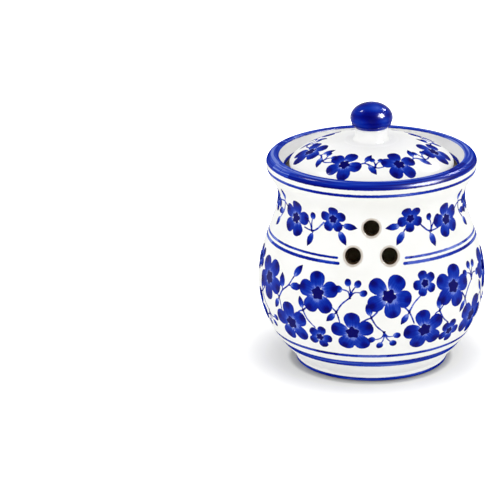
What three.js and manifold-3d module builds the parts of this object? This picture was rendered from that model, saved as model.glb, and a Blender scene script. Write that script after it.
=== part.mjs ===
// Garlic keeper: a round-bellied glazed pot with three vents, a lid that drops into its mouth, and a ball knob.
// Lengths are in millimetres. +Z is up, the vents face -Y, and the origin is the centre of the foot's underside.
import * as THREE from "three";
import { mergeVertices } from "three/addons/utils/BufferGeometryUtils.js";
import Module from "manifold-3d";

const wasm = await Module();
wasm.setup();

// Jar, outside
const footRadius = 42.8;
const footFlare = 0.5; // how much the foot widens up to where the belly springs
const footHeight = 4.2;
const bellyRadius = 64;
const bellyHeight = 48.6; // the widest ring, above the table
const neckRadius = 52.6;
const neckRise = 49; // the narrowest ring, above the widest
const rimRadius = 58.9;
const rimRise = 18.4; // the rim's widest ring, above the neck
const lipRise = 4.4; // the rim's crest, above the rim's widest ring
const lipInset = 5; // the crest's radius inside the rim's

// Jar, wall and underside
const wall = 5;
const floorThickness = 6;
const footRingWidth = 6.5;
const footRecess = 3;
const footEdge = 0.6; // the small bevel that the foot stands inside
const floorRadius = 33; // the flat of the floor, inside

// Jar, gallery that the lid sits in
const galleryInset = 4.1; // how far the wall above the gallery slopes in from the lip
const galleryDepth = 9.8; // the ledge, below the crest
const galleryWall = 2; // height of the upright wall round the ledge
const ledgeWidth = 6.7;
const ledgeThickness = 5;
const lipInner = 1.6; // rounding on the inside of the crest

// Vents
const ventRadius = 4.4;
const ventHeight = 78.5; // the two lower vents
const ventRise = 15; // the upper vent, above them
const ventSpacing = 20.2; // between the two lower vents
const ventOverrun = 6; // how far a cutter passes the wall on both sides

// Lid
const lidGap = 2.3; // round the lid, to the gallery's wall
const seatGap = 0.3; // under the lid, to the ledge
const lidEdge = 4.1; // from the lid's seat up to its widest ring
const lidUndercut = 0.9; // how far the edge draws in below its widest ring
const domeRise = 13.3; // the dome's top, above the lid's widest ring
const lidWall = 4.8;
const flangeGap = 0.7; // round the locating flange, to the jar's mouth
const flangeWall = 3.8;
const flangeDepth = 8; // below the lid's seat
const flangeEdge = 0.8; // bevel at the flange's foot
const collarRadius = 9.2;
const collarHeight = 7.1; // the collar's top, above the dome's top
const collarFlare = 1.7; // how much the collar widens down to the dome
const collarFlareRise = 3.4; // the height that the widening takes

// Knob
const knobRadius = 11.9;
const knobOverhang = 0.1; // the knob's underside, past the collar
const knobSeatEdge = 0.3; // rounding where the knob meets the collar
const knobCreaseRadius = 11.1;
const knobCreaseRise = 2.2; // a turned crease, above the knob's underside
const knobCreaseDepth = 0.25;
const knobWaist = 5.4; // the knob's widest ring, above its underside
const knobCrown = 8.7; // the knob's top, above its widest ring

// How far each curve of an outline holds its end direction, as a share of the height that it spans
const footSpringShare = 0.27;
const bellyLowShare = 0.44;
const bellyHighShare = 0.43;
const innerLowShare = 0.6;
const innerFloorShare = 0.38; // of the way out from the floor's flat to the belly
const neckLowShare = 0.31;
const neckHighShare = 0.46;
const rimLowShare = 0.46;
const roundShare = 0.552; // a quarter circle as one curve
const domeEdgeShare = 0.3;
const domeTopShare = 0.52; // of the dome's radius

// Steps round and along the outlines
const potSides = 64;
const knobSides = 40;
const ventSides = 24;
const longSteps = 8;
const midSteps = 6;
const roundSteps = 4;

// Levels and radii that the pieces share
const neckHeight = bellyHeight + neckRise;
const rimHeight = neckHeight + rimRise;
const crestHeight = rimHeight + lipRise;
const crestRadius = rimRadius - lipInset;
const ledgeHeight = crestHeight - galleryDepth;
const galleryRadius = crestRadius - lipInner - galleryInset;
const lidRadius = galleryRadius - lidGap;
const mouthRadius = galleryRadius - ledgeWidth;
const seatHeight = ledgeHeight + seatGap;
const collarTop = seatHeight + lidEdge + domeRise + collarHeight;

const at = (radius, height) => new THREE.Vector2(radius, height);

// The points of a cubic curve after its first one, which the outline already holds.
function curve(from, pull, push, to, steps) {
  return new THREE.CubicBezierCurve(from, pull, push, to).getPoints(steps).slice(1);
}

// A quarter round between two points, leaving the first upright or level.
function quarter(from, to, leavesUpright) {
  const pull = from.clone();
  const push = to.clone();
  if (leavesUpright) {
    pull.y += (to.y - from.y) * roundShare;
    push.x += (from.x - to.x) * roundShare;
  } else {
    pull.x += (to.x - from.x) * roundShare;
    push.y += (from.y - to.y) * roundShare;
  }
  return curve(from, pull, push, to, roundSteps);
}

// An S-shaped or bowed stretch that is upright at both ends.
function upright(from, to, startShare, endShare, steps) {
  const rise = to.y - from.y;
  const pull = at(from.x, from.y + rise * startShare);
  const push = at(to.x, to.y - rise * endShare);
  return curve(from, pull, push, to, steps);
}

// Turns an outline of (radius, height) points about the Z axis into one closed solid.
function turned(outline, sides) {
  const lathe = new THREE.LatheGeometry(outline, sides);
  lathe.rotateX(Math.PI / 2);
  return solidOf(lathe);
}

function solidOf(geometry) {
  const bare = geometry.clone();
  bare.deleteAttribute("normal");
  bare.deleteAttribute("uv");
  const merged = mergeVertices(bare);
  return new wasm.Manifold(
    new wasm.Mesh({
      numProp: 3,
      vertProperties: merged.attributes.position.array,
      triVerts: new Uint32Array(merged.index.array),
    }),
  );
}

function geometryOf(solid) {
  const mesh = solid.getMesh();
  const geometry = new THREE.BufferGeometry();
  geometry.setAttribute("position", new THREE.BufferAttribute(mesh.vertProperties, mesh.numProp));
  geometry.setIndex(new THREE.BufferAttribute(mesh.triVerts, 1));
  geometry.computeVertexNormals();
  return geometry;
}

// The outside of the jar, from the table to the rim's crest.
function jarOutside() {
  const spring = at(footRadius + footFlare, footHeight);
  const belly = at(bellyRadius, bellyHeight);
  const neck = at(neckRadius, neckHeight);
  const rim = at(rimRadius, rimHeight);
  const reach = (bellyHeight - footHeight) * footSpringShare;
  const pull = at(spring.x + reach, spring.y + reach);
  const push = at(bellyRadius, bellyHeight - (bellyHeight - footHeight) * bellyLowShare);
  return [
    at(footRadius - footEdge, 0),
    at(footRadius, footEdge),
    spring,
    ...curve(spring, pull, push, belly, longSteps),
    ...upright(belly, neck, bellyHighShare, neckLowShare, longSteps),
    ...upright(neck, rim, neckHighShare, rimLowShare, midSteps),
    ...quarter(rim, at(crestRadius, crestHeight), true),
  ];
}

// The inside of the jar, from the rim's crest down over the gallery to the floor's middle.
function jarInside() {
  const crest = at(crestRadius, crestHeight);
  const lip = at(crestRadius - lipInner, crestHeight - lipInner);
  const gallery = at(galleryRadius, ledgeHeight + galleryWall);
  const underLedge = at(mouthRadius, ledgeHeight - ledgeThickness);
  const neck = at(neckRadius - wall, Math.min(neckHeight, underLedge.y - wall));
  const belly = at(bellyRadius - wall, bellyHeight);
  const floorEdge = at(floorRadius, footRecess + floorThickness);
  const pull = at(belly.x, belly.y - (belly.y - floorEdge.y) * innerLowShare);
  const push = at(floorEdge.x + (belly.x - floorEdge.x) * innerFloorShare, floorEdge.y);
  return [
    ...quarter(crest, lip, false),
    gallery,
    at(galleryRadius, ledgeHeight),
    at(mouthRadius, ledgeHeight),
    underLedge,
    ...upright(underLedge, neck, bellyHighShare, neckLowShare, roundSteps),
    ...upright(neck, belly, neckLowShare, bellyHighShare, midSteps),
    ...curve(belly, pull, push, floorEdge, longSteps),
    at(0, floorEdge.y),
  ];
}

// A straight cutter that runs from outside the belly to well inside it, at one vent.
function ventCutter(across, height) {
  const length = wall + 2 * ventOverrun;
  const cutter = new THREE.CylinderGeometry(ventRadius, ventRadius, length, ventSides);
  const middle = outsideRadiusAt(height) - wall / 2;
  cutter.translate(0, -middle, 0);
  cutter.rotateZ(Math.asin(across / outsideRadiusAt(height)));
  cutter.translate(0, 0, height);
  return solidOf(cutter);
}

// The jar's outer radius at a height between two points of its outline.
function outsideRadiusAt(height) {
  const outline = jarOutside();
  const above = outline.findIndex((point) => point.y >= height);
  const low = outline[above - 1];
  const high = outline[above];
  return low.x + ((high.x - low.x) * (height - low.y)) / (high.y - low.y);
}

function jarSolid() {
  const ringInside = footRadius - footRingWidth;
  const underside = [at(0, footRecess), at(ringInside - footRecess, footRecess), at(ringInside, 0)];
  let jar = turned([...underside, ...jarOutside(), ...jarInside()], potSides);
  const vents = [
    [0, ventHeight + ventRise],
    [-ventSpacing / 2, ventHeight],
    [ventSpacing / 2, ventHeight],
  ];
  for (const [across, height] of vents) {
    jar = jar.subtract(ventCutter(across, height));
  }
  return jar;
}

function lidSolid() {
  const widest = at(lidRadius, seatHeight + lidEdge);
  const domeTop = widest.y + domeRise;
  const collarFoot = at(collarRadius + collarFlare, domeTop);
  const flangeRadius = mouthRadius - flangeGap;
  const hollowRadius = flangeRadius - flangeWall;
  const hollowEdge = at(hollowRadius, seatHeight);
  const ceiling = at(0, domeTop - lidWall);
  const domeReach = collarFoot.x + (lidRadius - collarFoot.x) * domeTopShare;
  const outline = [
    ceiling,
    ...curve(ceiling, at(hollowRadius * domeTopShare, ceiling.y), at(hollowRadius, ceiling.y), hollowEdge, midSteps),
    at(hollowRadius, seatHeight - flangeDepth),
    at(flangeRadius - flangeEdge, seatHeight - flangeDepth),
    at(flangeRadius, seatHeight - flangeDepth + flangeEdge),
    at(flangeRadius, seatHeight),
    at(lidRadius - lidUndercut, seatHeight),
  ];
  const seatEdge = outline.at(-1);
  outline.push(...upright(seatEdge, widest, domeEdgeShare, domeEdgeShare, roundSteps));
  const pull = at(widest.x, widest.y + domeRise * domeEdgeShare);
  outline.push(...curve(widest, pull, at(domeReach, domeTop), collarFoot, longSteps));
  const collarSide = at(collarRadius, domeTop + collarFlareRise);
  outline.push(...quarter(collarFoot, collarSide, false));
  outline.push(at(collarRadius, collarTop), at(0, collarTop));
  return turned(outline, potSides);
}

function knobSolid() {
  const seatRadius = collarRadius + knobOverhang;
  const crease = at(knobCreaseRadius, collarTop + knobCreaseRise);
  const widest = at(knobRadius, collarTop + knobWaist);
  const outline = [
    at(0, collarTop),
    at(seatRadius - knobSeatEdge, collarTop),
    at(seatRadius, collarTop + knobSeatEdge),
    at(crease.x, crease.y - knobCreaseDepth),
    at(crease.x - knobCreaseDepth, crease.y),
    at(crease.x, crease.y + knobCreaseDepth),
  ];
  outline.push(...upright(outline.at(-1), widest, domeEdgeShare, roundShare, roundSteps));
  const crown = curve(
    widest,
    at(widest.x, widest.y + knobCrown * roundShare),
    at(widest.x * roundShare, widest.y + knobCrown),
    at(0, widest.y + knobCrown),
    midSteps,
  );
  outline.push(...crown);
  return turned(outline, knobSides);
}

function piece(name, solid, colour, roughness) {
  const material = new THREE.MeshStandardMaterial({ color: colour, roughness, metalness: 0 });
  const mesh = new THREE.Mesh(geometryOf(solid), material);
  mesh.name = name;
  return mesh;
}

const whiteGlaze = 0xf7f6f2;
const cobaltGlaze = 0x10299e;
const glazeRoughness = 0.12;

const jar = piece("jar", jarSolid(), whiteGlaze, glazeRoughness);

// The knob is luted to the lid before firing, so they lift off together.
const lidWithKnob = new THREE.Group();
lidWithKnob.add(piece("lid", lidSolid(), whiteGlaze, glazeRoughness));
lidWithKnob.add(piece("lid_knob", knobSolid(), cobaltGlaze, glazeRoughness));

const garlicKeeper = new THREE.Group();
garlicKeeper.add(jar, lidWithKnob);

export default garlicKeeper;
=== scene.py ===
"""Garlic keeper: a glazed pot with three vents, a drop-in lid and a ball knob, painted in blue on white.

Lengths are in millimetres until a mesh is made. Angles run round the pot's axis, from the vents at -Y
towards +X. A run is a length along a turned outline.
"""
import math
import random

import bpy
import numpy as np
from mathutils import Color, Matrix, Vector


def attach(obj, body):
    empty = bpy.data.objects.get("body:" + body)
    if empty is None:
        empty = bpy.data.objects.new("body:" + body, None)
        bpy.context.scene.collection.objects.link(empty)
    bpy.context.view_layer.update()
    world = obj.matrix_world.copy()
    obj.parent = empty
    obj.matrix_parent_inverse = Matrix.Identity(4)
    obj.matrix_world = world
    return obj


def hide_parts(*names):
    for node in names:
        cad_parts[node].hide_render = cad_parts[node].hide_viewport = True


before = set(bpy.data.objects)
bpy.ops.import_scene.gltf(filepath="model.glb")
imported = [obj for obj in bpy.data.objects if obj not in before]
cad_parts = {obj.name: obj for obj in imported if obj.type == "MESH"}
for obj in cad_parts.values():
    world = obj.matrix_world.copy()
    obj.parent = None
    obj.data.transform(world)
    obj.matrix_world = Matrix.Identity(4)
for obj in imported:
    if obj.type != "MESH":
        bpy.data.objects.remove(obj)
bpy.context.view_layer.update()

MILLIMETRE = 0.001

# Jar, outside
FOOT_RADIUS = 42.8
FOOT_FLARE = 0.5
FOOT_HEIGHT = 4.2
BELLY_RADIUS = 64
BELLY_HEIGHT = 48.6
NECK_RADIUS = 52.6
NECK_HEIGHT = BELLY_HEIGHT + 49
RIM_RADIUS = 58.9
RIM_HEIGHT = NECK_HEIGHT + 18.4
CREST_RADIUS = RIM_RADIUS - 5
CREST_HEIGHT = RIM_HEIGHT + 4.4

# Jar, wall, underside and gallery
WALL = 5
FLOOR_HEIGHT = 9
FLOOR_RADIUS = 33
FOOT_RECESS = 3
FOOT_EDGE = 0.6
FOOT_RING_INSIDE = FOOT_RADIUS - 6.5
LIP_INNER = 1.6
LIP_ACROSS = 2.1  # glaze fills the lip's inside a little
LIP_DROP = 0.9
GALLERY_RADIUS = CREST_RADIUS - LIP_INNER - 4.1
GALLERY_WALL = 2
LEDGE_HEIGHT = CREST_HEIGHT - 9.8
LEDGE_THICKNESS = 5
MOUTH_RADIUS = GALLERY_RADIUS - 6.7

# Vents, each as its place across the front and its height
VENT_RADIUS = 4.4
VENT_EDGE = 0.5
VENTS = [(0, 93.5), (-10.1, 78.5), (10.1, 78.5)]
VENT_FIELD = 7  # half the width of the surface made anew round a vent
VENT_RINGS = 4
VENT_SLACK = 0.01  # how far outside its radius a bore still gets the painted shade
VENT_HALO = 1.65  # how far round a vent the glaze is thin
VENT_HALO_FADE = 0.85

# Lid
LID_RADIUS = GALLERY_RADIUS - 2.3
SEAT_HEIGHT = LEDGE_HEIGHT + 0.3
LID_EDGE = 4.1
LID_UNDERCUT = 0.9
DOME_RISE = 13.3
DOME_TOP = SEAT_HEIGHT + LID_EDGE + DOME_RISE
LID_WALL = 4.8
FLANGE_RADIUS = MOUTH_RADIUS - 0.7
FLANGE_WALL = 3.8
FLANGE_FOOT = SEAT_HEIGHT - 8
COLLAR_RADIUS = 9.2
COLLAR_TOP = DOME_TOP + 7.1
COLLAR_FLARE = 1.7
COLLAR_FLARE_RISE = 3.4
DOME_STEP = 0.4  # a soft step in the dome round the collar
DOME_STEP_RADIUS = 15
DOME_STEP_WIDTH = 2

# Knob
KNOB_RADIUS = 11.9
KNOB_SEAT_RADIUS = 9.3
KNOB_SEAT_EDGE = 0.3
KNOB_CREASE_RADIUS = 11.1
KNOB_CREASE_RISE = 2.2
KNOB_CREASE_DEPTH = 0.25
KNOB_WAIST = 5.4
KNOB_CROWN = 8.7

# How far each curve of an outline holds its end direction, as a share of its height
FOOT_SPRING_SHARE = 0.27
BELLY_LOW_SHARE = 0.44
BELLY_HIGH_SHARE = 0.43
INNER_LOW_SHARE = 0.6
INNER_FLOOR_SHARE = 0.38
NECK_LOW_SHARE = 0.31
NECK_HIGH_SHARE = 0.46
RIM_LOW_SHARE = 0.46
ROUND_SHARE = 0.552
DOME_EDGE_SHARE = 0.3
DOME_TOP_SHARE = 0.52

# How finely surfaces are made: painted ones hold the brushwork at their vertices
PAINTED_STEP = 0.55
PLAIN_STEP = 2
EDGE_STEP = 0.3
CURVE_STEPS = 200
JAR_SIDES = 720
LID_SIDES = 576
PLAIN_SIDES = 180
KNOB_SIDES = 96
SOFT_EDGE = 0.5  # rounding that glaze leaves

# The jar's painted lines: the heights of their edges, and the middle ones' degrees from the vents
BASE_LINE = (0.25, 2.25)
FOOT_STRIPE = (11.6, 15.6)
FOOT_LINE = (19.1, 21.1)
MIDDLE_LINES = [(73.4, 75.1, 18), (76.4, 77.7, 19)]
MIDDLE_LINE_LAP = 9  # degrees at each end where the brush went over twice
UNDER_RIM_LINE = (112.5, 114.3)
RIM_BAND_FOOT = 116.7
RIM_BAND_INSIDE = 2.8  # how far the rim's band goes inside the crest
GALLERY_LINE = (1.6, 3.3)  # the dark line on the gallery's wall, above its corner
GALLERY_PAINTED_SHADE = 0.87  # how much the painted shade darkens the corner below the line, where the lid's gap is in shadow
LEDGE_PAINTED = 2  # how far in along the ledge the paint goes
BARE_FOOT = 0.15  # how high the foot's bare clay reaches

# Brush strokes. A pair is a range, and shares are of a blossom's width or of a stroke's length.
FAR = 9  # plainly outside every stroke
STEM = 1.05
STEM_TAPER = 0.25
STEM_STEPS = 6  # between two of its points
STALK = STEM * 0.85
JOINT_DOT = STEM * 0.8
PETALS = 5
PETAL_LENGTH = (0.4, 0.43)
PETAL_WIDTH = (0.35, 0.38)
PETAL_EGG = 0.22  # how much wider a petal is towards its tip
HEART = 0.14
HEART_SCALLOP = 0.14
BERRY_LENGTH = 1.12
BERRY_WIDTH = (0.92, 1.02)
BERRY_REACH = (0.92, 1.05)
LEAF_EGG = -0.1
LEAF_POINT = 0.7
LEAF_STALK = 0.45
LEAF_MIDDLE = 0.7
LEAF_TURN = (44, 56)  # degrees that leaves turn away from their twig
STRAY = 5  # degrees that the hand strays by
PAD_REACH = 34  # how far strokes reach from a pad's middle

# Belly garland, in repeats of an upper and a lower blossom about the band's middle
BELLY_MIDDLE = 46.5
BELLY_REPEATS = 10
BELLY_STEP = math.tau * BELLY_RADIUS / BELLY_REPEATS
UPPER_BLOSSOM = (-10, 11)
LOWER_BLOSSOM = (10, -11)
BELLY_BLOSSOM = (24.5, 26)
BELLY_LEAF = (7, 3.6)
BLOSSOM_STEM = 8.5  # how far from a blossom's middle its stem starts
BUD = (14.5, 16)
JOINT = (1, 1)  # where the stem forks between the two blossoms
# What grows above and below the joints
BELLY_FILLERS = [
    ("bud", "berries"), ("berries", "bud"), ("bud", "twig"), ("twig", "berries"), ("berries", "bud")
]

# Neck and lid garlands
NECK_MIDDLE = 93.5
NECK_FIRST = 24  # degrees from the vents to the first flower
NECK_SPACING = 27
NECK_FLOWERS = 5  # small and large in turn
NECK_SMALL = (0, 3.5)
NECK_LARGE = (0, -1)
NECK_BLOSSOM = (20, 21.5)
NECK_LEAF = (8, 3.9)
LID_BLOSSOMS = 7
LID_BLOSSOM = (19.5, 20.5)
LID_GARLAND_RADIUS = 35

# How thick cobalt lies, from 0 to 1: its plain tone, and what each thing adds to it
PETAL_TONE = 0.17
TIP_TONE = 0.1
SPOT_TONE = 0.42
BASE_TONE = -0.4
RIM_TONE = 0.07
LOAD_TONE = 0.05
CLOUD_TONE = 0.6
STREAK_TONE = 0.4
BASE_STREAK_TONE = 0.7
LINE_TONE = -0.52
LINE_LOAD_TONE = 0.3
LINE_STREAK_TONE = 1.9
KNOB_TONE = -0.65
KNOB_STREAK_TONE = 1.1
KNOB_PATCH_TONE = 1.5

# Where a petal's parts fade in, along it from -1 at the heart to 1 at the tip
PETAL_BASE = (-0.1, -0.95)
PETAL_RIM = (-0.7, -0.1)  # from its edge
SPOT_PLACE = 0.62
SPOT_STRETCH = 4.5
SPOT_FADE = (3.1, 0.5)

# Scales of the noise: streaks by direction, and the rest per metre
PETAL_STREAKS = (1.3, 0.6, 30)  # across a petal, along it and from one to the next
LINE_STREAKS = (30, 30, 0.9)
KNOB_STREAKS = (45, 45, 330)
STREAK_DETAIL = 3
EDGE_NOISE = 650
CLOUD_NOISE = 90
WHITE_NOISE = 45
BARE_NOISE = 260
GRAIN_NOISE = 1800
SHINE_NOISE = 150
WAVE_NOISE = 55
KNOB_WAVE_NOISE = 70
KNOB_PATCH_NOISE = 75

# Paint edges, glaze and clay
WOBBLE = 0.4
PAINT_EDGE = 0.13
WHITE_RANGE = (0.35, 0.65)  # where noise goes from the lower to the higher white
GRAIN_RANGE = (0.3, 0.7)
BARE_WOBBLE = 0.2
THIN_GLAZE = (0.05, 0.5)  # where the glaze thins, and then ends, as a place gets barer
GLAZE_END = (0.6, 0.95)
GLAZE_ROUGHNESS = 0.18
GLAZE_MOTTLE = 0.05
LINE_MATTNESS = 0.06  # how much rougher the glaze is over a painted line
LINE_MATT_FADE = (0.3, -0.5)
BARE_MATTNESS = 0.65
GLAZE_GLOSS = 0.04
GLAZE_GRAZING = (0.35, 0.8)  # where the gloss fades out towards the silhouette
KNOB_GRAZING = (0.7, 1)
GLAZE_WAVES = 0.3
KNOB_WAVES = 0.08
GRAIN_WAVES = 0.6
WAVE_HEIGHT = 0.0003

# Stage and camera, in metres and degrees
FLOOR_SIZE = 12
FLOOR_GAP = 0.0002
FLOOR_ROUGHNESS = 0.9
WORLD_LIGHT = 0.68
CEILING_LEVEL = 0.35
CEILING_RISE = (0.2, 0.55)  # where the surround turns into the ceiling, as a direction's height
SHADOW_MIDDLE = (-0.004, 0.005, 0)
SHADOW_REACH = 0.126  # how far from there the floor shows shadows
# Painted shadow on the floor round the foot, deeper than the lamps make it: the middle, the inner and outer
# radius, and how much
PAINTED_FLOOR_SHADOWS = [((-0.0006, -0.0004, 0), 0.0445, 0.0478, 0.4), (SHADOW_MIDDLE, 0.04, 0.062, 0.06)]
SENSOR = 36  # millimetres
FRAME_PIXELS = 500
POT_PIXEL = (371.36, 230.1)  # where the photograph shows the camera's target
FOCAL_PIXELS = 3000
CAMERA_DISTANCE = 1.6913
CAMERA_ELEVATION = 18.6
CAMERA_TARGET = 0.0746
CAMERA_ROLL = 0.045

# Soft lights: name, bearing, elevation, distance, size, and how brightly they light a white card
LIGHTS = [
    ("top", 0, 80, 1.8, 1.6, 0.2),
    ("low_front", 0, 6, 1.8, 1, 0.175),
    ("left", -78, 10, 1.6, 1.3, 0.22),
    ("right", 78, 10, 1.6, 1.3, 0.25),
    ("behind", 180, 50, 1.8, 1.6, 0.12),
]
# Glints, lamps that only glaze reflects: name, bearing, elevation, distance, size, brightness
GLINTS = [
    ("key_glint", 68, 39, 1.6, 0.8, 340),
    ("left_glint", -110, 54, 1.6, 0.22, 120),
    ("rear_glint", 133, 40, 1.6, 0.3, 90),
]

between = random.Random(11).uniform  # what the hand leaves to chance


# Outlines

def bezier(start, pull, push, end, steps=CURVE_STEPS):
    """A curve in that many steps, without its first point."""
    share = np.linspace(0, 1, steps + 1)[1:, None]
    rest = 1 - share
    start, pull, push, end = (np.array(point, float) for point in (start, pull, push, end))
    return rest**3 * start + 3 * rest**2 * share * pull + 3 * rest * share**2 * push + share**3 * end


class Outline:
    """The rows of a turned surface, as radius and height."""

    def __init__(self, radius, height):
        self.rows = [(radius, height)]

    def __len__(self):
        return len(self.rows)

    def follow(self, drawn, step):
        """Adds a drawn stretch in even steps."""
        path = np.vstack([self.rows[-1], drawn])
        run = runs_of(path)
        even = np.linspace(0, run[-1], max(1, round(run[-1] / step)) + 1)[1:]
        self.rows += list(zip(np.interp(even, run, path[:, 0]), np.interp(even, run, path[:, 1])))

    def line(self, radius, height, step=PLAIN_STEP):
        self.follow([(radius, height)], step)

    def curve(self, pull, push, end, step=PAINTED_STEP):
        self.follow(bezier(self.rows[-1], pull, push, end), step)

    def upright(self, end, start_share, end_share, step=PAINTED_STEP):
        """An S-shaped or bowed stretch that is upright at both ends."""
        radius, height = self.rows[-1]
        rise = end[1] - height
        self.curve((radius, height + rise * start_share), (end[0], end[1] - rise * end_share), end, step)

    def quarter(self, end, step=EDGE_STEP, upright=True):
        """A quarter round that leaves the last row upright or level."""
        radius, height = self.rows[-1]
        across, rise = (end[0] - radius) * ROUND_SHARE, (end[1] - height) * ROUND_SHARE
        if upright:
            self.curve((radius, height + rise), (end[0] - across, end[1]), end, step)
        else:
            self.curve((radius + across, height), (end[0], end[1] - rise), end, step)

    def corner(self, corner, towards, size=SOFT_EDGE, step=PLAIN_STEP):
        """Runs up to a corner and round it, by size each way."""
        here, turn, there = (np.array(point, float) for point in (self.rows[-1], corner, towards))
        into = turn + (here - turn) / np.linalg.norm(here - turn) * size
        out = turn + (there - turn) / np.linalg.norm(there - turn) * size
        self.line(*into, step)
        self.curve(into + (turn - into) * ROUND_SHARE, out + (turn - out) * ROUND_SHARE, out, EDGE_STEP)


def runs_of(rows):
    """The run at each row."""
    return np.append(0, np.cumsum(np.linalg.norm(np.diff(np.array(rows), axis=0), axis=1)))


def jar_outline():
    """The jar's outline from the middle of its underside, over the rim, to the middle of its floor.

    Also the numbers of the painted stretch's first and last row, and of the rim's crest.
    """
    path = Outline(0, FOOT_RECESS)
    ring_foot = (FOOT_RING_INSIDE, 0)
    path.corner((FOOT_RING_INSIDE - FOOT_RECESS, FOOT_RECESS), ring_foot, step=PLAIN_STEP * 2)
    path.corner(ring_foot, (FOOT_RADIUS, 0))
    path.line(FOOT_RADIUS - 2 * FOOT_EDGE, 0)
    first = len(path)
    path.quarter((FOOT_RADIUS, FOOT_EDGE), upright=False)
    spring = (FOOT_RADIUS + FOOT_FLARE, FOOT_HEIGHT)
    bowl = BELLY_HEIGHT - FOOT_HEIGHT
    pull = (spring[0] + bowl * FOOT_SPRING_SHARE, spring[1] + bowl * FOOT_SPRING_SHARE)
    path.corner(spring, pull, step=PAINTED_STEP)
    push = (BELLY_RADIUS, BELLY_HEIGHT - bowl * BELLY_LOW_SHARE)
    path.curve(pull, push, (BELLY_RADIUS, BELLY_HEIGHT))
    path.upright((NECK_RADIUS, NECK_HEIGHT), BELLY_HIGH_SHARE, NECK_LOW_SHARE)
    path.upright((RIM_RADIUS, RIM_HEIGHT), NECK_HIGH_SHARE, RIM_LOW_SHARE)
    path.quarter((CREST_RADIUS, CREST_HEIGHT))
    crest = len(path) - 1
    path.quarter((CREST_RADIUS - LIP_ACROSS, CREST_HEIGHT - LIP_DROP), upright=False)
    radius, height = path.rows[-1]
    wall = (GALLERY_RADIUS, LEDGE_HEIGHT + GALLERY_WALL)
    path.curve((radius, height - (height - wall[1]) * ROUND_SHARE), wall, wall)
    mouth = (MOUTH_RADIUS, LEDGE_HEIGHT)
    path.corner((GALLERY_RADIUS, LEDGE_HEIGHT), mouth, step=PAINTED_STEP)
    path.line(GALLERY_RADIUS - LEDGE_PAINTED, LEDGE_HEIGHT, PAINTED_STEP)
    last = len(path) - 1
    under_ledge = (MOUTH_RADIUS, LEDGE_HEIGHT - LEDGE_THICKNESS)
    path.corner(mouth, under_ledge)
    path.line(*under_ledge)
    path.upright((NECK_RADIUS - WALL, NECK_HEIGHT), BELLY_HIGH_SHARE, NECK_LOW_SHARE, PLAIN_STEP)
    belly = (BELLY_RADIUS - WALL, BELLY_HEIGHT)
    path.upright(belly, NECK_LOW_SHARE, BELLY_HIGH_SHARE, PLAIN_STEP)
    pull = (belly[0], belly[1] - (belly[1] - FLOOR_HEIGHT) * INNER_LOW_SHARE)
    push = (FLOOR_RADIUS + (belly[0] - FLOOR_RADIUS) * INNER_FLOOR_SHARE, FLOOR_HEIGHT)
    path.curve(pull, push, (FLOOR_RADIUS, FLOOR_HEIGHT), PLAIN_STEP)
    path.line(0, FLOOR_HEIGHT, PLAIN_STEP * 2)
    return path.rows, first, last, crest


def lid_outline():
    """The lid's outline from the middle of its hollow to the collar's, and the painted rows' ends."""
    hollow = FLANGE_RADIUS - FLANGE_WALL
    ceiling = DOME_TOP - LID_WALL
    widest = (LID_RADIUS, SEAT_HEIGHT + LID_EDGE)
    path = Outline(0, ceiling)
    path.curve((hollow * DOME_TOP_SHARE, ceiling), (hollow, ceiling), (hollow, SEAT_HEIGHT), PLAIN_STEP)
    corners = [(hollow, FLANGE_FOOT), (FLANGE_RADIUS, FLANGE_FOOT), (FLANGE_RADIUS, SEAT_HEIGHT)]
    corners += [(LID_RADIUS - LID_UNDERCUT, SEAT_HEIGHT), widest]
    for corner, towards in zip(corners, corners[1:]):
        path.corner(corner, towards)
    first = len(path)
    path.upright(widest, DOME_EDGE_SHARE, DOME_EDGE_SHARE)
    collar_foot = COLLAR_RADIUS + COLLAR_FLARE
    reach = collar_foot + (LID_RADIUS - collar_foot) * DOME_TOP_SHARE
    pull = (LID_RADIUS, widest[1] + DOME_RISE * DOME_EDGE_SHARE)
    step = (DOME_STEP_RADIUS + DOME_STEP_WIDTH / 2, DOME_TOP - DOME_STEP)
    path.curve(pull, (reach, step[1]), step)
    pull, push = (DOME_STEP_RADIUS, step[1]), (DOME_STEP_RADIUS, DOME_TOP)
    path.curve(pull, push, (DOME_STEP_RADIUS - DOME_STEP_WIDTH / 2, DOME_TOP), EDGE_STEP)
    path.line(collar_foot, DOME_TOP, PAINTED_STEP)
    path.quarter((COLLAR_RADIUS, DOME_TOP + COLLAR_FLARE_RISE), upright=False)
    last = len(path) - 1
    path.corner((COLLAR_RADIUS, COLLAR_TOP), (0, COLLAR_TOP), KNOB_SEAT_EDGE)
    path.line(0, COLLAR_TOP)
    return path.rows, first, last


def knob_outline():
    """The knob's outline from the middle of its underside to its top."""
    crease = (KNOB_CREASE_RADIUS, COLLAR_TOP + KNOB_CREASE_RISE)
    widest = (KNOB_RADIUS, COLLAR_TOP + KNOB_WAIST)
    path = Outline(0, COLLAR_TOP)
    path.line(KNOB_SEAT_RADIUS - KNOB_SEAT_EDGE, COLLAR_TOP)
    path.quarter((KNOB_SEAT_RADIUS, COLLAR_TOP + KNOB_SEAT_EDGE), EDGE_STEP / 2, upright=False)
    path.line(crease[0], crease[1] - KNOB_CREASE_DEPTH, EDGE_STEP)
    path.quarter((crease[0] - KNOB_CREASE_DEPTH, crease[1]), EDGE_STEP / 4)
    path.quarter((crease[0], crease[1] + KNOB_CREASE_DEPTH), EDGE_STEP / 4)
    path.upright(widest, DOME_EDGE_SHARE, ROUND_SHARE)
    path.quarter((0, widest[1] + KNOB_CROWN), PAINTED_STEP)
    return path.rows


# Meshes

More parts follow.
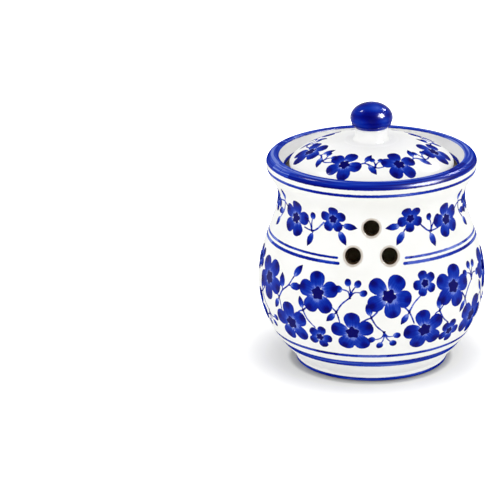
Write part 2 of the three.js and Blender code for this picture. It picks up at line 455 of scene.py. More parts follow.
class Clay:
    """A closed mesh in the making, with each vertex's angle, if it has one, run and radius."""

    def __init__(self):
        self.points = np.empty((0, 3))
        self.places = np.empty((0, 3))
        self.faces = []
        self.sheets = []

    def add(self, points, places):
        """Adds vertices and gives their numbers."""
        start = len(self.points)
        self.points = np.vstack([self.points, points])
        self.places = np.vstack([self.places, places])
        return np.arange(start, len(self.points))

    def skin(self, faces, places=None):
        """Adds faces. Their places on the paint map are their vertices', or places."""
        faces = np.array(faces)
        self.faces.append(faces)
        self.sheets.append((self.places if places is None else places)[faces][:, :, :2])

    def turn(self, rows, sides):
        """Turns the rows about the axis, each with its count of sides, and gives their rings."""
        rings = []
        for (radius, height), run, count in zip(rows, runs_of(rows), sides):
            angle = np.linspace(-math.pi, math.pi, count, endpoint=False) if radius else np.zeros(1)
            even = np.ones(len(angle))
            points = np.column_stack([radius * np.sin(angle), -radius * np.cos(angle), height * even])
            places = np.column_stack([angle if radius else even * math.nan, run * even, radius * even])
            rings.append((points, places))
        numbers = self.add(*(np.vstack(parts) for parts in zip(*rings)))
        return np.split(numbers, np.cumsum([len(points) for points, _ in rings])[:-1])

    def join(self, low, high, skip=None):
        """Faces between two rings: quads, or triangles where their counts differ."""
        if len(low) == len(high):
            faces = np.column_stack([low, np.roll(low, -1), np.roll(high, -1), high])
            self.skin(faces if skip is None else faces[~skip])
        elif len(low) == 1:
            self.skin(np.column_stack([np.full(len(high), low[0]), np.roll(high, -1), high]))
        elif len(high) == 1:
            self.skin(np.column_stack([low, np.roll(low, -1), np.full(len(low), high[0])]))
        else:
            self.skin(zipped(low, high, self.places[low, 0], self.places[high, 0]))

    def mesh(self, name, attributes):
        """The finished mesh, in metres, with attributes at its vertices."""
        used = np.unique(np.concatenate([block.ravel() for block in self.faces]))
        renumbered = np.zeros(len(self.points), int)
        renumbered[used] = np.arange(len(used))
        faces = [face for block in self.faces for face in renumbered[block].tolist()]
        mesh = bpy.data.meshes.new(name)
        mesh.from_pydata((self.points[used] * MILLIMETRE).tolist(), [], faces)
        mesh.shade_smooth()
        mesh.uv_layers.new(name="OFBake").data.foreach_set("uv", self.paint_map().astype(np.float32).ravel())
        for title, values in attributes.items():
            layer = mesh.attributes.new(title, "FLOAT", "POINT")
            layer.data.foreach_set("value", values[used].astype(np.float32))
        mesh.validate()
        return mesh

    def paint_map(self):
        """Where each face corner lies on the paint map: its turn and its run."""
        longest = self.places[:, 1].max()
        corners = []
        for sheet in self.sheets:
            turn = sheet[:, :, 0] / math.tau + 0.5
            turn += np.nanmax(turn, 1, keepdims=True) - turn > 0.5
            turn = np.where(np.isnan(turn), np.nanmean(turn, 1, keepdims=True), turn)
            corners.append(np.dstack([turn, sheet[:, :, 1] / longest]).reshape(-1, 2))
        return np.vstack(corners)


def zipped(low, high, low_angles, high_angles):
    """Triangles between two rings whose vertices follow the same turn at other angles."""
    rings, reached, faces = (low, high), [0, 0], []
    steps = [(angle, 0) for angle in (*low_angles[1:], low_angles[0] + math.tau)]
    steps += [(angle, 1) for angle in (*high_angles[1:], high_angles[0] + math.tau)]
    for _, side in sorted(steps):
        here, there = low[reached[0] % len(low)], high[reached[1] % len(high)]
        reached[side] += 1
        faces.append((here, rings[side][reached[side] % len(rings[side])], there))
    return faces


class Stretch:
    """A stretch of an outline in which the height only rises or only falls."""

    def __init__(self, rows, runs):
        order = np.argsort([height for _, height in rows])
        self.radii, self.heights = np.array(rows)[order].T
        self.runs = np.array(runs)[order]

    def radius(self, height):
        return np.interp(height, self.heights, self.radii)

    def run(self, height):
        return np.interp(height, self.heights, self.runs)


class Vent:
    """A round hole cut straight through the wall, seen along its own axis."""

    def __init__(self, across, height, outside, inside):
        self.height = height
        self.outside, self.inside = outside, inside
        self.angle = math.asin(across / outside.radius(height))

    def local(self, points):
        """How far points are from the vent's axis, across and up."""
        x, y, height = points.T
        return x * math.cos(self.angle) + y * math.sin(self.angle), height - self.height

    def aside(self, points):
        """How far points are from the vent's axis, or far off on the pot's other side."""
        out = points[:, 0] * math.sin(self.angle) - points[:, 1] * math.cos(self.angle)
        return np.where(out > 0, np.hypot(*self.local(points)), FAR)

    def block(self, clay, rings):
        """The first and last ring and column round the vent."""
        heights = np.array([clay.points[ring[0], 2] for ring in rings])
        near = np.flatnonzero(abs(heights - self.height) < VENT_FIELD)
        ring = rings[near[len(near) // 2]]
        across, _ = self.local(clay.points[ring])
        facing = abs(clay.places[ring, 0] - self.angle) < math.pi / 4
        columns = np.flatnonzero((abs(across) < VENT_FIELD) & facing)
        return near[0], near[-1], columns[0], columns[-1]

    def border(self, clay, rings, block):
        """The vertices round that block and their angles about the vent, in order."""
        top, bottom, left, right = block
        border = [rings[top][left:right], rings[bottom][left + 1 : right + 1]]
        border.append([ring[right] for ring in rings[top:bottom]])
        border.append([ring[left] for ring in rings[top + 1 : bottom + 1]])
        border = np.concatenate(border)
        across, up = self.local(clay.points[border])
        angles = np.arctan2(up, across)
        order = np.argsort(angles)
        return border[order], angles[order]

    def ring(self, clay, last, stretch, spot, sunk=0, drawn_in=1):
        """A ring at spot, sunk below a stretch's surface and joined to the last ring.

        On the paint map it is drawn in towards the vent's middle.
        """
        across, up = spot.T
        radius = stretch.radius(self.height + up)
        out = np.sqrt(radius**2 - across**2) - sunk
        x = out * math.sin(self.angle) + across * math.cos(self.angle)
        y = -out * math.cos(self.angle) + across * math.sin(self.angle)
        angle = self.angle + np.arctan2(across * drawn_in, radius)
        run = self.outside.run(self.height + up * drawn_in)
        added = clay.add(np.column_stack([x, y, self.height + up]), np.column_stack([angle, run, radius]))
        clay.join(last, added)
        return added

    def cut(self, clay, outer_rings, inner_rings):
        """Makes the vent, and gives the blocks that it replaces outside and inside."""
        outer_block, inner_block = self.block(clay, outer_rings), self.block(clay, inner_rings)
        last, angles = self.border(clay, outer_rings, outer_block)
        start = np.column_stack(self.local(clay.points[last]))
        aim = np.column_stack([np.cos(angles), np.sin(angles)])
        shares = np.arange(1, VENT_RINGS + 1) / VENT_RINGS
        for share in shares:
            spot = start * (1 - share) + aim * (VENT_RADIUS + VENT_EDGE) * share
            last = self.ring(clay, last, self.outside, spot)
        for bend in shares * math.pi / 2:
            spot = aim * (VENT_RADIUS + VENT_EDGE * (1 - math.sin(bend)))
            last = self.ring(clay, last, self.outside, spot, VENT_EDGE * (1 - math.cos(bend)))
        for share in shares:
            sunk = VENT_EDGE + (WALL - VENT_EDGE - SOFT_EDGE) * share
            last = self.ring(clay, last, self.outside, aim * VENT_RADIUS, sunk, 1 - share / 2)
        spot = aim * (VENT_RADIUS + SOFT_EDGE)
        last = self.ring(clay, last, self.inside, spot, drawn_in=1 / 4)
        border, border_angles = self.border(clay, inner_rings, inner_block)
        places = clay.places.copy()
        places[last, 0] = self.angle + np.arctan2(spot[:, 0], places[last, 2])
        places[last, 1] = self.inside.run(self.height + spot[:, 1])
        clay.skin(zipped(last, border, angles, border_angles), places)
        return outer_block, inner_block


def jar_clay():
    """The jar as one closed mesh, its vents, its outside, and the run at which its paint ends."""
    clay = Clay()
    rows, first, last, crest = jar_outline()
    runs = runs_of(rows)
    rings = clay.turn(rows, sides_of(rows, first, last, JAR_SIDES))
    heights = np.array(rows)[:, 1]
    neck = last + np.argmax(heights[last:] <= NECK_HEIGHT)
    floor = neck + np.argmax(heights[neck:] <= FLOOR_HEIGHT)
    inside = Stretch(rows[neck:floor], runs[neck:floor])
    outside = Stretch(rows[first:crest], runs[first:crest])
    vents = [Vent(across, height, outside, inside) for across, height in VENTS]
    skips = [np.zeros(len(ring), bool) for ring in rings]
    for vent in vents:
        blocks = vent.cut(clay, rings[first:crest], rings[neck:floor])
        for start, (top, bottom, left, right) in zip((first, neck), blocks):
            for skip in skips[start + top : start + bottom]:
                skip[left:right] = True
    for low, high, skip in zip(rings, rings[1:], skips):
        clay.join(low, high, skip)
    return clay, vents, outside, runs[last]


def sides_of(rows, first, last, painted_sides):
    """How many sides each row has."""
    return [painted_sides if first <= number <= last else PLAIN_SIDES for number in range(len(rows))]


def turned_clay(rows, sides):
    """A plain turned piece as one closed mesh."""
    clay = Clay()
    rings = clay.turn(rows, sides)
    for low, high in zip(rings, rings[1:]):
        clay.join(low, high)
    return clay


# Brushwork

class Paint:
    """The brushwork on one piece, as distances at its vertices: below zero is inside a stroke.

    It is laid out by height up the outline, or in plan where no run at a height is given.
    """

    def __init__(self, clay, lowest, highest, run_at=None):
        self.angle, self.run, self.radius = np.nan_to_num(clay.places.T)
        self.run_at = run_at
        self.open = (self.run >= lowest) & (self.run <= highest)
        count = len(self.angle)
        self.fields = {title: np.full(count, float(FAR)) for title in ("petal", "heart", "line")}
        self.fields |= {title: np.zeros(count) for title in ("tip", "side", "load", "bare", "painted_shade")}
        self.fields["run"] = self.run

    def nearest(self, title, where, distance):
        self.fields[title][where] = np.minimum(self.fields[title][where], distance)

    def ring(self, start, end, gap=0):
        """A line right round between two runs, or one that ends gap degrees from the front."""
        aside = np.maximum(math.radians(gap) - abs(self.angle), 0) * self.radius
        distance = np.hypot(aside, self.run - (start + end) / 2) - (end - start) / 2
        self.nearest("line", self.open, distance[self.open])
        if gap:
            lap = (gap + MIDDLE_LINE_LAP - np.degrees(abs(self.angle))) * 2
            self.fields["load"][distance < 0.5] = np.clip(lap, -0.5, 1)[distance < 0.5]

    def band(self, start, thin, end):
        """A wide line right round, thick at its edges and thin at one run between them."""
        self.ring(start, end)
        inside = (self.run > start - 1) & (self.run < end + 1)
        away = abs(self.run - thin) / (thin - start)
        self.fields["load"][inside] = np.clip(2 * away - 1, -1, 1)[inside]


class Pad:
    """The surface round one spot, laid flat: x runs round to the right and y up, or inwards in plan."""

    def __init__(self, paint, degrees, level, flip=1):
        self.paint = paint
        aside = (paint.angle - math.radians(degrees) + math.pi) % math.tau - math.pi
        if paint.run_at:
            x, y = paint.radius * aside, paint.run - paint.run_at(level)
        else:
            x, y = paint.radius * np.sin(aside), level - paint.radius * np.cos(aside)
        self.near = np.flatnonzero((abs(x) < PAD_REACH) & (abs(y) < PAD_REACH) & paint.open)
        self.x, self.y = x[self.near] * flip, y[self.near]

    def dab(self, x, y, heading, length, width, egg, point=0):
        """A petal, leaf or berry about x and y, wider by egg and pointed towards its heading."""
        cos, sin = ahead(0, 0, heading, 1)
        along = ((self.x - x) * cos + (self.y - y) * sin) / (length / 2)
        aside = (self.y - y) * cos - (self.x - x) * sin
        half = width / 2 * (1 + egg * np.clip(along, -1, 1)) * (1 - point * np.clip(along, 0, 1) ** 2)
        size = np.hypot(along, aside / half)
        slope = np.hypot(along / (length / 2), aside / half**2)
        distance = size * (size - 1) / np.maximum(slope, 1 / FAR)
        fields = self.paint.fields
        nearer = distance < fields["petal"][self.near]
        where = self.near[nearer]
        load = between(-1, 1)
        for title, values in (("petal", distance), ("tip", along), ("side", aside)):
            fields[title][where] = values[nearer]
        fields["load"][where] = load

    def heart(self, x, y, radius, lobes, turn):
        """A dark scalloped centre."""
        angle = np.arctan2(self.y - y, self.x - x)
        edge = radius * (1 + HEART_SCALLOP * np.cos(lobes * (angle - math.radians(turn))))
        self.paint.nearest("heart", self.near, np.hypot(self.x - x, self.y - y) - edge)

    def stem(self, points, width=STEM):
        """A thin line, curved through a few points, that ends finer than it starts."""
        path = smooth_path(points)
        best = np.full(len(self.near), float(FAR))
        for number, ((x, y), (to_x, to_y)) in enumerate(zip(path, path[1:])):
            over, up = to_x - x, to_y - y
            along = np.clip(((self.x - x) * over + (self.y - y) * up) / (over**2 + up**2), 0, 1)
            half = width / 2 * (1 - STEM_TAPER * number / len(path))
            best = np.minimum(best, np.hypot(self.x - x - along * over, self.y - y - along * up) - half)
        self.paint.nearest("line", self.near, best)


def smooth_path(points):
    """A smooth line through the points."""
    points = np.array([points[0], *points, points[-1]], float)
    path = [points[0]]
    for before, start, end, after in zip(points, points[1:], points[2:], points[3:]):
        path += [*bezier(start, start + (end - before) / 6, end - (after - start) / 6, end, STEM_STEPS)]
    return path


def ahead(x, y, heading, distance):
    """The place at a distance from another one, on a heading in degrees."""
    return x + distance * math.cos(math.radians(heading)), y + distance * math.sin(math.radians(heading))


def shaken(x, y, by=1.0):
    """A place moved a little, as by hand."""
    return x + between(-by, by), y + between(-by, by)


def blossom(pad, x, y, sizes):
    """A blossom of rounded petals about a dark heart."""
    size, turn = between(*sizes), between(0, 360 / PETALS)
    for number in range(PETALS):
        heading = turn + number * 360 / PETALS + between(-STRAY, STRAY)
        length = size * between(*PETAL_LENGTH)
        width = size * between(*PETAL_WIDTH)
        pad.dab(*ahead(x, y, heading, (size - length) / 2), heading, length, width, PETAL_EGG)
    pad.heart(x, y, size * HEART, PETALS, turn)


def fork(pad, x, y, turn=0):
    """The dark spot where stalks part."""
    pad.heart(x, y, JOINT_DOT, 3, turn)


def berries(pad, x, y, heading, length, spread, count, size=3.7):
    """A fan of stalks from one joint, each with a berry, shorter off its middle."""
    for number in range(count):
        off_middle = number - (count - 1) / 2
        aim = heading + spread * off_middle + between(-STRAY, STRAY)
        reach = length * (1 - abs(off_middle) / 10) * between(*BERRY_REACH)
        end = ahead(x, y, aim, reach)
        pad.stem([(x, y), ahead(x, y, (aim + heading) / 2, reach / 2), end], STALK)
        pad.dab(*end, aim, size * BERRY_LENGTH, size * between(*BERRY_WIDTH), egg=0)
    fork(pad, x, y, heading)


def leaf(pad, x, y, heading, length, width):
    """A pointed leaf on a short stalk from a place on its twig."""
    pad.stem([(x, y), ahead(x, y, heading, length * LEAF_STALK)], STALK)
    pad.dab(*ahead(x, y, heading, length * LEAF_MIDDLE), heading, length, width, LEAF_EGG, LEAF_POINT)


def heading_of(start, end):
    return math.degrees(math.atan2(end[1] - start[1], end[0] - start[0]))


def leafy_twig(pad, points, length=8, width=3.8):
    """A curved twig with leaves at its inner points, on alternate sides, and at its end."""
    pad.stem(points)
    for number, (before, here, after) in enumerate(zip(points, points[1:], points[2:])):
        turn = (-1) ** number * between(*LEAF_TURN)
        leaf(pad, *here, heading_of(before, after) + turn, length, width)
    leaf(pad, *points[-1], heading_of(*points[-2:]), length, width)


def filler(pad, kind, joint, up):
    """What grows from a joint into the gap beside it, up where up is 1 and down where it is -1."""
    x, y = joint
    bend, end = (x + 3, y + 5 * up), (x + 7.5, y + 9 * up)
    if kind == "bud":
        pad.stem([joint, bend, end])
        blossom(pad, end[0] + 2.5, end[1] + 6 * up, BUD)
    elif kind == "berries":
        pad.stem([joint, bend, end])
        berries(pad, *end, 80 * up, 9.5, spread=42, count=4, size=4)
    else:
        leafy_twig(pad, [joint, bend, end, (end[0] + 2.5, end[1] + 4.5 * up)], 8.5, 4.4)


def belly_garland(paint):
    """Blossoms round the belly, high and low in turn, with stems that fork into the gaps."""
    for number in range(BELLY_REPEATS):
        pad = Pad(paint, (number + 0.5) * 360 / BELLY_REPEATS, BELLY_MIDDLE)
        upper, lower = shaken(*UPPER_BLOSSOM), shaken(*LOWER_BLOSSOM)
        joint, start, end = shaken(*JOINT), (-BELLY_STEP / 2, -1), (BELLY_STEP / 2, -1)
        pad.stem([start, (start[0] + 2.5, start[1] + 2.5), ahead(*upper, 232, BLOSSOM_STEM - 0.5)])
        pad.stem([ahead(*upper, 322, BLOSSOM_STEM), joint, ahead(*lower, 142, BLOSSOM_STEM)])
        pad.stem([ahead(*lower, 52, BLOSSOM_STEM), (end[0] - 2.5, end[1] - 1), end])
        above, below = BELLY_FILLERS[number % len(BELLY_FILLERS)]
        filler(pad, above, joint, 1)
        filler(pad, below, start, -1)
        leaf(pad, *joint, between(225, 240), *BELLY_LEAF)
        leaf(pad, *start, between(95, 110), *BELLY_LEAF)
        for place in (joint, start):
            fork(pad, *place)
        for place in (upper, lower):
            blossom(pad, *place, BELLY_BLOSSOM)


def neck_garland(paint):
    """A sprig of small and large flowers on each side of the vents, which ends before the back."""
    for side in (1, -1):
        for number in range(NECK_FLOWERS):
            pad = Pad(paint, side * (NECK_FIRST + number * NECK_SPACING), NECK_MIDDLE, flip=side)
            small = number % 2 == 0
            if number == 0:
                leaf(pad, -5, 1, 188, 8, 3.8)
                leaf(pad, -3.5, -1.5, 236, 8.5, 3.8)
            if number == NECK_FLOWERS - 1:
                leafy_twig(pad, [(5, 1), (9, -3), (13.5, -3), (17, 0.5)])
            elif small:
                pad.stem([(5, 1), (11, -4.5), (18, -4)])
                leaf(pad, 11.5, -4.6, -72, *NECK_LEAF)
                berries(pad, 12.5, -4.8, 74, 9, spread=42, count=2)
            else:
                pad.stem([(7.5, 2), (13, 5.5), (20, 4.5)])
                leaf(pad, 13, 5.5, 100, *NECK_LEAF)
                leafy_twig(pad, [(13, 5.5), (13.5, 0.5), (17, -4)], 7, 3.6)
            blossom(pad, *shaken(*(NECK_SMALL if small else NECK_LARGE), 0.6), BUD if small else NECK_BLOSSOM)


def lid_place(degrees, outwards=0):
    """A place on the lid's garland, some degrees round from a blossom."""
    radius, angle = LID_GARLAND_RADIUS + outwards, math.radians(degrees)
    return radius * math.sin(angle), LID_GARLAND_RADIUS - radius * math.cos(angle)


def lid_garland(paint):
    """Blossoms round the lid's dome, joined by stems with leaves and berries."""
    for number in range(LID_BLOSSOMS):
        pad = Pad(paint, (number + 0.5) * 360 / LID_BLOSSOMS, LID_GARLAND_RADIUS)
        pad.stem([lid_place(12), lid_place(19, -2), lid_place(26), lid_place(32, 1.5), lid_place(40)])
        leaf(pad, *lid_place(19, -2), 88, 7, 3.5)
        leaf(pad, *lid_place(22, -1.5), -30, 7.5, 3.6)
        berries(pad, *lid_place(29, 1), 108, 6.5, spread=50, count=2, size=3.3)
        blossom(pad, *shaken(0, 0, 0.5), LID_BLOSSOM)


def paint_jar(clay, vents, outside, last_run):
    """The jar's brushwork, where its clay is bare, and where shade is painted dark into the vents' bores and
    the gallery's corner.
    """
    paint = Paint(clay, outside.run(0), last_run, outside.run)
    for low, high, *gap in (BASE_LINE, FOOT_STRIPE, FOOT_LINE, UNDER_RIM_LINE, *MIDDLE_LINES):
        paint.ring(outside.run(low), outside.run(high), *gap)
    crest = outside.run(CREST_HEIGHT)
    paint.band(outside.run(RIM_BAND_FOOT), crest, crest + RIM_BAND_INSIDE)
    corner = last_run - LEDGE_PAINTED
    line_foot, line_top = (corner - above for above in GALLERY_LINE)
    paint.ring(line_top, line_foot)
    paint.fields["load"][(paint.run > line_top - 1) & paint.open] = 1
    belly_garland(paint)
    neck_garland(paint)
    # Painted shade: the wall below the gallery line and the ledge's painted strip are coloured dark, standing
    # in for the shadow in the gap beside the lid
    below_line = np.clip((paint.run - line_foot) / SOFT_EDGE + 0.5, 0, 1)
    painted_shade = below_line * (paint.run <= last_run) * GALLERY_PAINTED_SHADE
    bare = np.clip((BARE_FOOT - clay.points[:, 2]) / SOFT_EDGE + 0.5, 0, 1)
    bare[paint.run > last_run] = 1
    for vent in vents:
        aside = vent.aside(clay.points)
        halo = np.clip((VENT_RADIUS + VENT_HALO - aside) / VENT_HALO_FADE, 0, 1)
        bare = np.maximum(bare, halo / 2)
        # Painted shade: each vent's bore is coloured dark, standing in for the shadow inside the hole
        painted_shade = np.maximum(painted_shade, aside < VENT_RADIUS + VENT_SLACK)
    paint.fields |= {"bare": bare, "painted_shade": painted_shade}
    return paint.fields


def paint_lid(clay, lowest, highest):
    """The lid's brushwork between two runs, and the bare clay where it sits."""
    paint = Paint(clay, lowest, highest)
    lid_garland(paint)
    below = np.clip((SEAT_HEIGHT + SOFT_EDGE - clay.points[:, 2]) / SOFT_EDGE, 0, 1)
    outer = np.clip((paint.radius - FLANGE_RADIUS + FLANGE_WALL) / SOFT_EDGE, 0, 1)
    paint.fields["bare"] = below * outer
    return paint.fields


# Materials

def rgb(red, green, blue):
    """A colour written as on a screen, as the shader's own."""
    return *Color((red / 255, green / 255, blue / 255)).from_srgb_to_scene_linear(), 1


WHITES = [rgb(246, 246, 243), rgb(251, 251, 249)]
CLAYS = [rgb(228, 208, 178), rgb(243, 226, 199)]
# Painted shade: a dark brown that stands in for shadow in the vents' bores and the gallery's corner
PAINTED_SHADE_CLAY = rgb(74, 56, 37)
HALO = rgb(203, 194, 184)
# From thin to thick
COBALTS = [
    rgb(112, 132, 212), rgb(40, 70, 186), rgb(6, 46, 166), rgb(0, 24, 146), rgb(0, 8, 124), rgb(0, 0, 98)
]
FLOOR_WHITE = rgb(249, 249, 246)
WHITE = (1, 1, 1, 1)
BLACK = (0, 0, 0, 1)


class Nodes:
    """The nodes of a material or of the world."""

    def __init__(self, owner, shader="Principled BSDF", place="Object"):
        owner.use_nodes = True
        self.owner = owner
        self.tree = owner.node_tree
        self.shader = self.tree.nodes[shader]
        self.place = self.add("ShaderNodeTexCoord")[place]

    def add(self, kind, inputs=(), **settings):
        """Adds a node and gives its outputs."""
        node = self.tree.nodes.new(kind)
        for title, value in settings.items():
            setattr(node, title, value)
        self.connect(node, dict(inputs))
        return node.outputs

    def connect(self, node, inputs):
        """Links or sets each input."""
        for title, value in inputs.items():
            if isinstance(value, bpy.types.NodeSocket):
                self.tree.links.new(value, node.inputs[title])
            else:
                node.inputs[title].default_value = value

    def math(self, operation, *values):
        return self.add("ShaderNodeMath", dict(enumerate(values)), operation=operation)[0]

    def total(self, start, *terms):
        """The start, and each value times its factor added to it."""
        for value, factor in terms:
            start = self.math("MULTIPLY_ADD", value, factor, start)
        return start

    def rise(self, value, low, high):
        """From 0 at low to 1 at high, smoothly."""
        inputs = {"Value": value, "From Min": low, "From Max": high}
        return self.add("ShaderNodeMapRange", inputs, interpolation_type="SMOOTHSTEP")["Result"]

    def blend(self, share, first, second):
        return self.add("ShaderNodeMix", {0: share, 6: first, 7: second}, data_type="RGBA")[2]

    def ramp(self, share, low, high, colours):
        """Evenly through the colours as the share goes from low to high."""
        ramped = self.add("ShaderNodeValToRGB", {"Fac": share})["Color"]
        elements = ramped.node.color_ramp.elements
        while len(elements) < len(colours):
            elements.new(0.5)
        for element, place, colour in zip(elements, np.linspace(low, high, len(colours)), colours):
            element.position, element.color = place, colour
        return ramped

    def field(self, title):
        return self.add("ShaderNodeAttribute", attribute_name=title)["Fac"]

    def away(self, centre):
        """How far the surface is from that place."""
        return self.add("ShaderNodeVectorMath", {0: self.place, 1: centre}, operation="DISTANCE")["Value"]

    def axes(self):
        return self.add("ShaderNodeSeparateXYZ", {"Vector": self.place})

    def noise(self, scale, place=None, detail=2):
        inputs = {"Vector": place or self.place, "Scale": scale, "Detail": detail}
        return self.add("ShaderNodeTexNoise", inputs)["Fac"]

    def streaks(self, scales, values):
        """Noise over three values, each at its own scale."""
        scaled = [self.math("MULTIPLY", value, scale) for value, scale in zip(values, scales)]
        place = self.add("ShaderNodeCombineXYZ", zip("XYZ", scaled))["Vector"]
        return self.noise(1, place, STREAK_DETAIL)


def petal_paint(nodes):
    """Cobalt pressed on by a round brush: streaked by the heart, with a thick spot near the tip."""
    tip, side, load = nodes.field("tip"), nodes.field("side"), nodes.field("load")
    streaks = nodes.math("SUBTRACT", nodes.streaks(PETAL_STREAKS, (side, tip, load)), 0.5)
    base = nodes.rise(tip, *PETAL_BASE)
    from_spot = nodes.total(-SPOT_PLACE * SPOT_STRETCH, (tip, SPOT_STRETCH))
    from_spot = nodes.add("ShaderNodeCombineXYZ", {"X": from_spot, "Y": side})["Vector"]
    from_spot = nodes.add("ShaderNodeVectorMath", {0: from_spot}, operation="LENGTH")["Value"]
    tones = [
        (tip, TIP_TONE),
        (base, BASE_TONE),
        (load, LOAD_TONE),
        (nodes.rise(from_spot, *SPOT_FADE), SPOT_TONE),
        (nodes.rise(nodes.field("petal"), *PETAL_RIM), RIM_TONE),
        (streaks, nodes.total(STREAK_TONE, (base, BASE_STREAK_TONE))),
        (nodes.noise(CLOUD_NOISE), CLOUD_TONE),
    ]
    return nodes.ramp(nodes.total(PETAL_TONE, *tones), 0, 1, COBALTS)


def line_paint(nodes):
    """Cobalt drawn on while the pot turns, with streaks that run along the line."""
    axes = nodes.axes()
    streaks = nodes.streaks(LINE_STREAKS, (axes["X"], axes["Y"], nodes.field("run")))
    tone = nodes.total(LINE_TONE, (nodes.field("load"), LINE_LOAD_TONE), (streaks, LINE_STREAK_TONE))
    return nodes.ramp(tone, 0, 1, COBALTS)


def glaze_skin(nodes, colour, grazing, height, waves, *rougher):
    """A glazed surface in that colour, which its gloss leaves clear up to the silhouette."""
    turned = nodes.add("ShaderNodeLayerWeight", {"Blend": 0.5})["Facing"]
    mottle = (nodes.noise(SHINE_NOISE), GLAZE_MOTTLE)
    bump = {"Height": height, "Strength": waves, "Distance": WAVE_HEIGHT}
    inputs = {
        "Base Color": colour,
        "Specular IOR Level": nodes.total(GLAZE_GLOSS, (nodes.rise(turned, *grazing), -GLAZE_GLOSS)),
        "Roughness": nodes.total(GLAZE_ROUGHNESS - GLAZE_MOTTLE / 2, mottle, *rougher),
        "Normal": nodes.add("ShaderNodeBump", bump)["Normal"],
    }
    nodes.connect(nodes.shader, inputs)


def painted_glaze():
    """White glaze with the brushwork in it, which thins to bare clay, and painted shade in the vents' bores
    and the gallery's corner.
    """
    nodes = Nodes(bpy.data.materials.new("painted_glaze"))
    wobble = nodes.total(-WOBBLE / 2, (nodes.noise(EDGE_NOISE), WOBBLE))
    colour = nodes.ramp(nodes.noise(WHITE_NOISE), *WHITE_RANGE, WHITES)
    for title, paint in (("line", line_paint(nodes)), ("petal", petal_paint(nodes)), ("heart", COBALTS[-1])):
        edge = nodes.math("ADD", nodes.field(title), wobble)
        colour = nodes.blend(nodes.rise(edge, PAINT_EDGE, -PAINT_EDGE), colour, paint)
    bare = nodes.total(-BARE_WOBBLE / 2, (nodes.noise(BARE_NOISE), BARE_WOBBLE), (nodes.field("bare"), 1))
    colour = nodes.blend(nodes.rise(bare, *THIN_GLAZE), colour, HALO)
    bare = nodes.rise(bare, *GLAZE_END)
    grain = nodes.noise(GRAIN_NOISE, detail=4)
    colour = nodes.blend(bare, colour, nodes.ramp(grain, *GRAIN_RANGE, CLAYS))
    # Painted shade, blended in by its field, also takes bare clay's grain and roughness
    colour = nodes.blend(nodes.field("painted_shade"), colour, PAINTED_SHADE_CLAY)
    bare = nodes.math("MAXIMUM", bare, nodes.field("painted_shade"))
    grain = nodes.math("MULTIPLY", grain, bare)
    height = nodes.total(nodes.noise(WAVE_NOISE, detail=1), (grain, GRAIN_WAVES))
    rougher = (nodes.rise(nodes.field("line"), *LINE_MATT_FADE), LINE_MATTNESS), (bare, BARE_MATTNESS)
    glaze_skin(nodes, colour, GLAZE_GRAZING, height, GLAZE_WAVES, *rougher)
    return nodes.owner


def cobalt_glaze():
    """The knob's all-over cobalt, brushed on round it, with thinner patches."""
    nodes = Nodes(bpy.data.materials.new("cobalt_glaze"))
    streaks = nodes.streaks(KNOB_STREAKS, nodes.axes())
    patches = nodes.noise(KNOB_PATCH_NOISE, detail=1)
    tone = nodes.total(KNOB_TONE, (streaks, KNOB_STREAK_TONE), (patches, KNOB_PATCH_TONE))
    height = nodes.noise(KNOB_WAVE_NOISE, detail=1)
    glaze_skin(nodes, nodes.ramp(tone, 0, 1, COBALTS), KNOB_GRAZING, height, KNOB_WAVES)
    return nodes.owner


# Pieces

def put(data):
    """Puts a new object in the scene, under the name of its data."""
    made = bpy.data.objects.new(data.name, data)
    bpy.context.scene.collection.objects.link(made)
    return made


def piece(mesh, material, node, body):
    """Puts a finished mesh in the scene in its CAD node's place."""
    mesh.materials.append(material)
    made = put(mesh)
    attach(made, body)
    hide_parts(node)


def make_jar(material):
    clay, vents, outside, last_run = jar_clay()
    mesh = clay.mesh("jar_glazed", paint_jar(clay, vents, outside, last_run))
    piece(mesh, material, "jar", "jar")


def make_lid(material):
    rows, first, last = lid_outline()
    clay = turned_clay(rows, sides_of(rows, first, last, LID_SIDES))
    runs = runs_of(rows)
    mesh = clay.mesh("lid_glazed", paint_lid(clay, runs[first], runs[last]))
    piece(mesh, material, "lid", "lid")


def make_knob():
    rows = knob_outline()
    mesh = turned_clay(rows, [KNOB_SIDES] * len(rows)).mesh("knob_glazed", {})
    piece(mesh, cobalt_glaze(), "lid_knob", "lid")


# Stage

def make_floor():
    """A white floor that shows the pot's shadow, deepened by painted shadow round the foot, and plain white
    further off.
    """
    bpy.ops.mesh.primitive_plane_add(size=FLOOR_SIZE, location=(0, 0, -FLOOR_GAP))
    floor = bpy.context.object
    floor.name = "floor"
    nodes = Nodes(bpy.data.materials.new("floor"))
    seen, level = seen_ray(nodes), 1
    for centre, start, end, depth in PAINTED_FLOOR_SHADOWS:
        shade = nodes.total(1 - depth, (nodes.rise(nodes.away(centre), start, end), depth))
        level = nodes.math("MULTIPLY", shade, level)
    # The painted shadow shows only to rays that see the floor, not in the light it passes on
    level = nodes.math("MAXIMUM", level, nodes.math("SUBTRACT", 1, seen))
    unshadowed = nodes.rise(nodes.away(SHADOW_MIDDLE), FOOT_RADIUS * MILLIMETRE, SHADOW_REACH)
    inputs = {
        "Base Color": nodes.blend(level, BLACK, FLOOR_WHITE),
        "Roughness": FLOOR_ROUGHNESS,
        "Specular IOR Level": 0,
        "Emission Color": WHITE,
        "Emission Strength": nodes.math("MULTIPLY", unshadowed, seen),
    }
    nodes.connect(nodes.shader, inputs)
    floor.data.materials.append(nodes.owner)


def seen_ray(nodes):
    """1 for a ray that shows the background, and 0 for one that only gathers light."""
    rays = nodes.add("ShaderNodeLightPath")
    seen = nodes.math("MAXIMUM", rays["Is Camera Ray"], rays["Is Glossy Ray"])
    return nodes.math("MAXIMUM", seen, rays["Is Transmission Ray"])


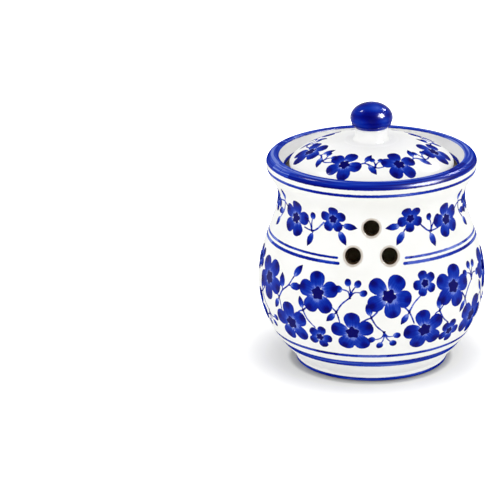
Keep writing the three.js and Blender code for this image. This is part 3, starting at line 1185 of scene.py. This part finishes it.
def make_world():
    """An even light, seen as a white surround under a dimmer ceiling."""
    world = bpy.data.worlds.new("studio")
    bpy.context.scene.world = world
    nodes = Nodes(world, "Background", "Generated")
    ceiling = nodes.rise(nodes.axes()["Z"], *CEILING_RISE)
    shown = nodes.total(1, (ceiling, CEILING_LEVEL - 1))
    strength = nodes.total(WORLD_LIGHT, (seen_ray(nodes), nodes.math("SUBTRACT", shown, WORLD_LIGHT)))
    nodes.connect(nodes.shader, {"Color": WHITE, "Strength": strength})


def facing(data, bearing, elevation, distance):
    """A lamp or camera that faces the pot, at a bearing from the front towards the right."""
    made = put(data)
    bearing, elevation = math.radians(bearing), math.radians(elevation)
    level = math.cos(elevation)
    back = Vector((math.sin(bearing) * level, -math.cos(bearing) * level, math.sin(elevation)))
    made.location = back * distance + Vector((0, 0, CAMERA_TARGET))
    made.rotation_euler = back.to_track_quat("Z", "Y").to_euler()
    return made


def make_lamp(name, size, power, *place):
    data = bpy.data.lights.new(name, "AREA")
    data.size, data.energy = size, power
    return facing(data, *place)


def make_lights():
    for name, bearing, elevation, distance, size, level in LIGHTS:
        power = level * math.pi**2 * distance**2
        make_lamp(name, size, power, bearing, elevation, distance).visible_glossy = False
    for name, bearing, elevation, distance, size, brightness in GLINTS:
        glint = make_lamp(name, size, brightness * math.pi * size**2, bearing, elevation, distance)
        glint.data.shape = "DISK"
        glint.visible_diffuse = False


def make_camera():
    """The photograph's view, with the pot right of the frame's middle and upright there."""
    data = bpy.data.cameras.new("camera")
    data.sensor_width = SENSOR
    data.lens = SENSOR * FOCAL_PIXELS / FRAME_PIXELS
    data.clip_end = FLOOR_SIZE
    camera = facing(data, 0, CAMERA_ELEVATION, CAMERA_DISTANCE)
    across, down = (math.atan((place - FRAME_PIXELS / 2) / FOCAL_PIXELS) for place in POT_PIXEL)
    aim = camera.rotation_euler.to_matrix()
    for angle, axis in ((across, "Y"), (down, "X"), (math.radians(CAMERA_ROLL), "Z")):
        aim = aim @ Matrix.Rotation(angle, 3, axis)
    camera.rotation_euler = aim.to_euler()
    bpy.context.scene.camera = camera


glaze = painted_glaze()
make_jar(glaze)
make_lid(glaze)
make_knob()
make_floor()
make_world()
make_lights()
make_camera()
bpy.context.scene.view_settings.view_transform = "Standard"
